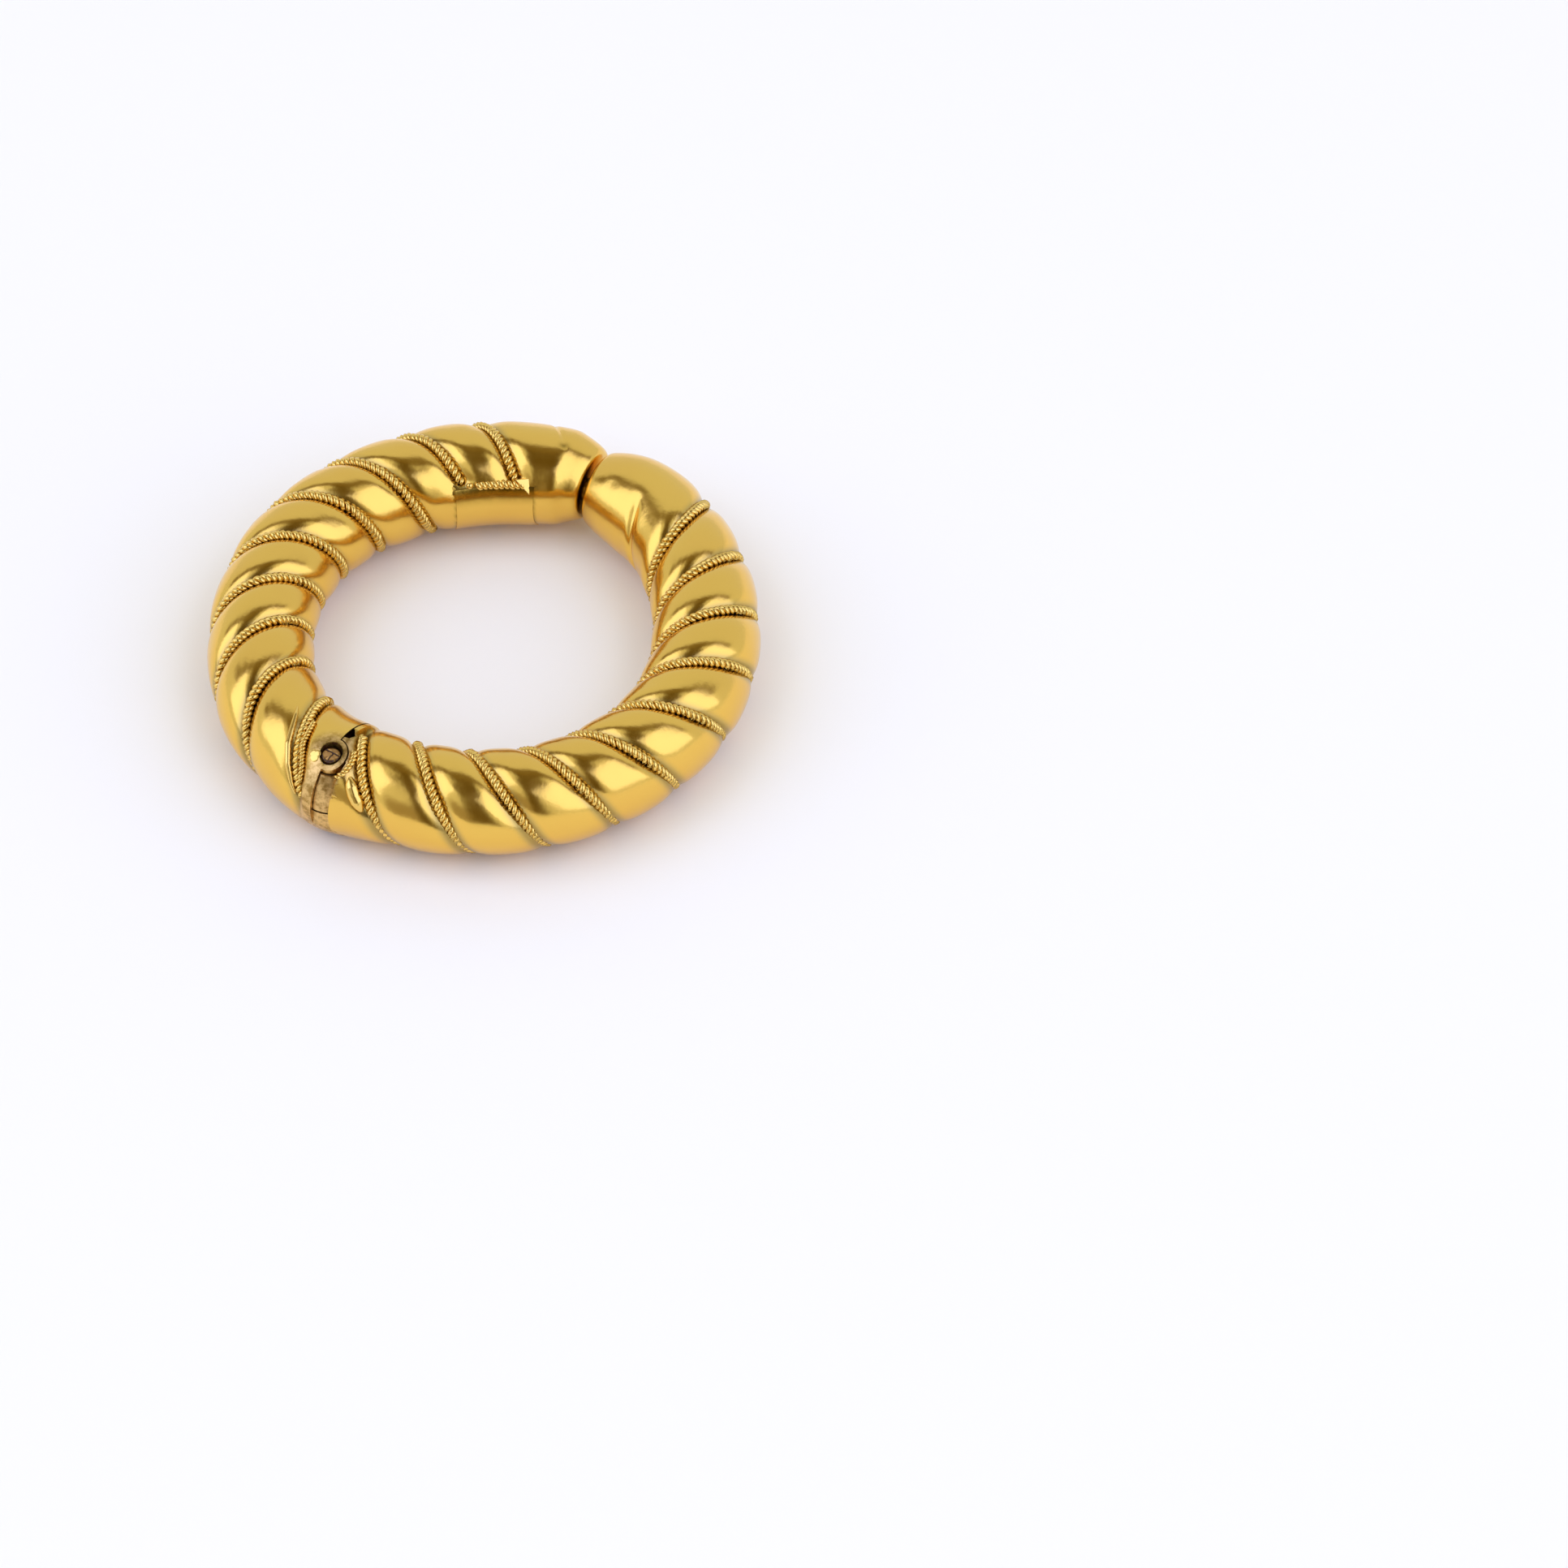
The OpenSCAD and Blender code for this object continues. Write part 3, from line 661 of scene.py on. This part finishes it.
def paint(ob, wires, clasp_low):
    """Marks that the skin's material reads: dirt and painted shade in the crevices, the clasp gap, the sink
    and the notch, tarnish beside the crevices, filed metal at the hinge.
    """
    me = ob.data
    co = np.empty(len(me.vertices) * 3)
    me.vertices.foreach_get("co", co)
    co = co.reshape(-1, 3) / MM
    x, y = co[:, 0] + CENTRE[0], co[:, 1] + CENTRE[1]
    ring = np.degrees(np.arctan2(y, x)) % 360
    ring = np.where((ring < 91) & (not clasp_low), ring + 360, ring)
    reach = np.hypot(x, y) - RING_R - smooth_at(1, ring)
    around = np.degrees(np.arctan2(co[:, 2] - MID_Z, reach)) % 360
    f = band_of(wires, ring, around) % 1.0
    d = np.minimum(f, 1 - f)
    outer = within(seen_side(around), WORN_SIDE)
    grooved = twist(wires, ring, around) > 0.2
    # Dirt and painted shade in the crevices beside the wires, less on the worn outer side and none under
    # the plate
    shown = grooved * (1 - 0.6 * outer) * (1 - plate(wires, ring, around))
    grime_and_shade = 0.8 * (1 - ease(ramp(d, WALL_AT + 0.015, WALL_AT + 0.05))) * shown
    tarnish = (1 - ease(ramp(d, WALL_AT + 0.03, WALL_AT + 0.13))) * grooved
    # Painted shade on the inner side of the end faces, deep in the clasp gap
    end = CLASP_AT + HALF_GAP if clasp_low else CLASP_AT + 360 - HALF_GAP
    end_face = 1 - ramp(np.abs(ring - end) * MM_ALONG, 0.02, 0.08)
    grime_and_shade = np.maximum(grime_and_shade, 0.8 * end_face * within(around, (85, 120, 250, 290)))
    if clasp_low:
        on_plate = within(around, (146, 150, 228, 232))
        for edge in PLATE_RING[1:3]:
            grime_and_shade = np.maximum(grime_and_shade, 0.7 * on_plate * np.exp(-((ring - edge) / 0.5) ** 2))
        # Dark spots where the groove on the plain end runs out, and beside the rope's end on the plate
        for at, turn, wide in ((98.2, 93, 0.2), (126.6, 149, 0.2)):
            far = np.hypot((ring - at) * MM_ALONG, (around - turn) * MM_ROUND)
            grime_and_shade = np.maximum(grime_and_shade, 0.8 * np.exp(-(far / wide) ** 2))
    a = math.radians(HINGE_AT)
    out = x * math.cos(a) + y * math.sin(a) - PIN_OUT
    on = y * math.cos(a) - x * math.sin(a)
    far = np.hypot(out, on)
    # Painted shade fills the sink round the rivet's head and the notch beside it, darkest low in the notch
    grime_and_shade = np.where((far < SINK_R + 0.02) & (co[:, 2] > MID_Z), 0.95, grime_and_shade)
    in_notch = (out > -1.76) & (out < -0.96) & (on > -0.04) & (on < 0.37) & (co[:, 2] > MID_Z + 2)
    grime_and_shade = np.where(in_notch, np.where(co[:, 2] < MID_Z + 2.2, 1.4, 0.8), grime_and_shade)
    if clasp_low:
        beside = (1 - ease(ramp(-on, 0.4, 1.3))) * ease(ramp(out, 0.2, 0.8))
        warm = 0.9 * np.maximum(beside, 1 - ease(ramp(far, 0.65, 1.4)))
    else:
        strip = (far < 1.62) & (on < STRIP + 0.01)
        warm = np.maximum(strip, 0.8 * (1 - ease(ramp(far, 1.0, 1.6))) * (1 - ramp(out, 0.4, 0.8)))
    for name, values in (("grime_and_shade", grime_and_shade), ("warm", warm), ("tarnish", tarnish)):
        layer = me.attributes.new(name, "FLOAT", "POINT")
        layer.data.foreach_set("value", values.astype(np.float32))


# Pieces
back_low = end_rings(CLASP_AT + HALF_GAP, 1, 96.6)
front_high = end_rings(CLASP_AT + 360 - HALF_GAP, -1, 434.0)
hinge_back = list(np.arange(262.2, 272.5, 0.7))
hinge_front = list(np.arange(255.5, 267.2, 0.7))

skin_back = new_mesh("skin_back", skin(BACK_WIRES, back_low, hinge_back, 3, True))
skin_front = new_mesh("skin_front", skin(FRONT_WIRES, hinge_front, front_high, 8, False))
cut_back(skin_back)
cut_front(skin_front)
for ob, wires, low in ((skin_back, BACK_WIRES, True), (skin_front, FRONT_WIRES, False)):
    ob.data.polygons.foreach_set("use_smooth", [True] * len(ob.data.polygons))
    ob.data.set_sharp_from_angle(angle=math.radians(35))
    paint(ob, wires, low)
inner_plate = make_plate()

# Rope wires of the back half, the flattened rope along the plate's edge, and the two wires at the hinge
bm = bmesh.new()
wind_ropes(bm, BACK_WIRES, 105.5, 261.6,
           lambda ring, a: (ring > 101) & (ring < 129.5) & (a > 146) & (a < 232))
lay_rope(bm, np.linspace(122, 105.6, 30), np.full(30, 148.5), 0.24, -0.1, 0.5, 5)
lay_wire(bm, [247.5, 249.2, 253.4, 255.8, 258.1, 259.6], [92, 84, 54, 37, 21, 10], 0.16, -0.1)
lay_rope(bm, [254.4, 255.4, 256.5, 259.2, 260.2], [92, 81, 64, 44, 27], 0.14, -0.07, 0.36, 6)
pad(bm, [(109, 141, 0.2), (104.9, 139, -0.04), (104.1, 160, 0.15)])
drop(bm, 123.5, 147, 0.16, 0.14)
for out, on, wide in ((0.48, -0.6, 0.23), (0.36, -0.72, 0.2), (0.3, -0.58, 0.18)):
    drop(bm, *(float(v) for v in over_hinge(out, on)), wide, 0.035)
bmesh.ops.remove_doubles(bm, verts=bm.verts, dist=1e-7)
ropes_back = new_mesh("ropes_back", bm, smooth=80)

# Rope wires of the front half, the beaded solder round the knuckle, and the leaf beside it
bm = bmesh.new()
wind_ropes(bm, FRONT_WIRES, 266.6, 425.5, lambda ring, a: (ring > 418) & (a > 100) & (a < 240))
bead_turn = np.radians(np.linspace(-40, 50, 30))
lay_rope(bm, *over_hinge(1.06 * np.sin(bead_turn), 1.06 * np.cos(bead_turn)), 0.16, -0.09, 0.4, 7)
lay_wire(bm, [269.6, 270.6, 271.8, 273.2, 274.2], [54, 45, 35, 25, 16], 0.32, -0.2)
bmesh.ops.remove_doubles(bm, verts=bm.verts, dist=1e-7)
ropes_front = new_mesh("ropes_front", bm, smooth=80)


def make_rivet():
    """The rivet, its head spread by hammering, with two plain strokes of a graver across it."""
    head = [(HEAD_R, 2.02), (HEAD_R, 2.32), (0.42, 2.36), (0.39, 2.385)]
    head += [(r, 2.41 - 0.16 * r**2) for r in np.arange(0.36, 0.02, -0.03)]
    bm = lathe([(0.36, -2.41), (0.43, -2.36), (HEAD_R, -2.02), (RIVET_R, -2.02), (RIVET_R, 2.02)] + head)
    rng = np.random.default_rng(4)
    knocks = rng.uniform(-0.4, 0.4, (22, 2))
    dirt_and_shade = bm.verts.layers.float.new("grime_and_shade")
    for v in bm.verts:
        p = np.array(v.co[:2])
        # Painted shade on the rim and side of each head, where it sits down in its sink
        v[dirt_and_shade] = ramp(np.hypot(*p), 0.34, 0.39)
        if v.co.z > 2.37:
            stroke = np.exp(-((p[0] + 0.13) / 0.05) ** 2)
            stroke += np.exp(-((p[1] - 0.04) / 0.05) ** 2) * (p[0] > -0.13)
            knock = np.exp(-((knocks - p) ** 2).sum(1) / 0.07**2).sum()
            v.co.z -= 0.05 * min(stroke, 1) + 0.018 * knock
            v[dirt_and_shade] = max(v[dirt_and_shade], 1.3 * min(stroke, 1))
    return tool(bm, "rivet")


rivet = make_rivet()


def make_post():
    """Curved post on a circle about the hinge, with a rounded tip."""
    a = math.radians(HINGE_AT)
    hinge = np.array([PIN_OUT * math.cos(a), PIN_OUT * math.sin(a)])
    arm = np.array([0, POST_AT]) - hinge
    orbit, start = np.hypot(*arm), math.atan2(arm[1], arm[0])
    gap = math.radians(HALF_GAP) * POST_AT
    root, tip = -(gap + POST_ROOT) / orbit, (POST_OUT - gap) / orbit
    along = list(np.linspace(root, tip - POST_R / orbit, 40))
    fat = [POST_R] * 40
    for k in range(1, 9):
        a = math.pi / 2 * k / 8
        along.append(tip - POST_R / orbit * (1 - math.sin(a)))
        fat.append(POST_R * math.cos(a))
    along, fat = np.array([root] + along), np.array([0.0] + fat)

    def place(i, j):
        a, p = start + along[i], 2 * math.pi * j / 32
        r = orbit + fat[i] * np.cos(p)
        return np.stack([hinge[0] - CENTRE[0] + r * np.cos(a), hinge[1] - CENTRE[1] + r * np.sin(a),
                         MID_Z + fat[i] * np.sin(p)], -1)

    bm = sheet(len(along), 33, place)
    bmesh.ops.remove_doubles(bm, verts=bm.verts, dist=1e-7)
    return new_mesh("post", bm)


post = make_post()

# High-carat gold, satin polished by hand: soft, slightly uneven mirror of the room
satin = gold("yellow_gold_satin", "EEC25A", "EAB856", 0.18, marked=True)
# Twisted gold wire, bright on its crests and brown between the strands, where polish, dirt and painted
# shade lie
rope_gold = gold("yellow_gold_rope", "F2CB6C", "EABB58", 0.20, marked=True)
# Rivet of rosier gold, hammered and filed dull
rivet_gold = gold("rosy_gold_rivet", "C49458", "AC7840", 0.36, marked=True)
# Drawn wire, the smoothest surface on the piece
post_gold = gold("drawn_gold_wire", "EEC460", "EAB95A", 0.16)

for ob, mat, body, slot, node in (
        (skin_back, satin, "back", "satin_gold", "back_half"),
        (skin_front, satin, "front", "satin_gold", "front_half"),
        (ropes_back, rope_gold, "back", "satin_gold", None),
        (ropes_front, rope_gold, "front", "satin_gold", None),
        (inner_plate, satin, "back", "satin_gold", None),
        (rivet, rivet_gold, "back", "rivet_gold", "hinge_pin"),
        (post, post_gold, "front", "post_gold", "ear_post")):
    ob.data.materials.clear()
    ob.data.materials.append(mat)
    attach(ob, body)
    if node:
        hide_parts(node)

# Pale table
bm = bmesh.new()
bmesh.ops.create_grid(bm, x_segments=1, y_segments=1, size=1.5)
table = new_mesh("table", bm)
# Matt white card, a little warm against the cool boxes, so that the table looks plain white
pale = bpy.data.materials.new("matt_white_card")
pale.use_nodes = True
pale.node_tree.nodes["Principled BSDF"].inputs["Base Color"].default_value = hexa("FAF4EA")
pale.node_tree.nodes["Principled BSDF"].inputs["Roughness"].default_value = 0.9
table.data.materials.append(pale)


def towards(turn, up):
    """The direction at a bearing and a height, in degrees, seen from the hoop."""
    a, e = math.radians(turn), math.radians(up)
    return (math.sin(a) * math.cos(e), -math.cos(a) * math.cos(e), math.sin(e))


# Camera where the photograph was taken from
VIEW_AT, VIEW_UP, VIEW_FAR = 28.2, 47.94, 0.4
back = Vector(towards(VIEW_AT, VIEW_UP))
cam = bpy.data.objects.new("camera", bpy.data.cameras.new("camera"))
cam.data.lens, cam.data.sensor_width = 197.74, 36.0
cam.data.clip_start, cam.data.clip_end = 0.01, 10
cam.location = Vector((0.015694, 0.000562, 0.00018)) + back * VIEW_FAR
cam.rotation_euler = back.to_track_quat("Z", "Y").to_euler()
bpy.context.scene.collection.objects.link(cam)
bpy.context.scene.camera = cam


def soft_light(name, turn, up, far, wide, tall, watts):
    """A soft box at a bearing and height from the hoop, facing it."""
    d = bpy.data.lights.new(name, "AREA")
    d.shape, d.size, d.size_y, d.energy = "RECTANGLE", wide, tall, watts
    ob = bpy.data.objects.new(name, d)
    way = Vector(towards(turn, up))
    ob.location = way * far
    ob.rotation_euler = way.to_track_quat("Z", "Y").to_euler()
    bpy.context.scene.collection.objects.link(ob)
    return ob


# The boxes are a little cooler than the walls, as their reflections in the gold show
COOL = (1.0, 1.14, 2.1)
soft_light("right_box", 89, 38, 1.0, 1.25, 1.15, 3.0).data.color = COOL
soft_light("left_box", -52, 40, 1.0, 0.8, 1.0, 1.85).data.color = COOL
fill = soft_light("floor_fill", 28, 80, 1.2, 1.4, 1.4, 5.2)
fill.data.color = (0.9, 0.93, 0.78)
fill.visible_glossy = False

world = bpy.data.worlds.new("studio")
bpy.context.scene.world = world
world.use_nodes = True
sky = world.node_tree
sky.nodes.clear()


def patch(shade, base, turn, up, inner, outer):
    """A soft-edged round patch of the studio walls, mixed over what is there."""
    near = add(sky, "ShaderNodeVectorMath", {1: towards(turn, up)}, [(0, way)], operation="DOT_PRODUCT")
    mask = add(sky, "ShaderNodeMapRange", {"From Min": math.cos(math.radians(outer)),
                                           "From Max": math.cos(math.radians(inner))},
               [("Value", near.outputs["Value"])], interpolation_type="SMOOTHSTEP")
    mix = add(sky, "ShaderNodeMix", {"B": (*shade, 1)},
              [("Factor", mask.outputs[0]), ("A", base)], data_type="RGBA")
    return mix.outputs["Result"]


way = add(sky, "ShaderNodeTexCoord").outputs["Generated"]
wall = add(sky, "ShaderNodeRGB")
wall.outputs[0].default_value = (0.77, 0.82, 0.9, 1)
shade = wall.outputs[0]
# Dark gaps between the boxes, which draw the dark stripes on the bands: bearing, height, inner and outer
# radius in degrees
DARK = (0.13, 0.09, 0.01)
GAPS = [(28, 5, 8, 26), (28, 25, 7, 20), (30, 45, 6, 18), (32, 62, 7, 18), (34, 76, 10, 22),
        (200, 80, 9, 18)]
for place in GAPS:
    shade = patch(DARK, shade, *place)
# A paler gap low in front
shade = patch((0.4, 0.36, 0.3), shade, 0, 14, 8, 26)
# A dark rail overhead, from behind the right box to behind the left one
RAIL = [(130, 34), (137, 46), (147, 58), (165, 69), (200, 75), (235, 71), (254, 60), (264, 47), (272, 33)]
for turn, up in RAIL:
    shade = patch((0.2, 0.15, 0.05), shade, turn, up, 3, 11)
glow = add(sky, "ShaderNodeBackground", {"Strength": 1.0}, [("Color", shade)])
add(sky, "ShaderNodeOutputWorld", {}, [("Surface", glow.outputs[0])])
bpy.context.scene.view_settings.view_transform = "Standard"
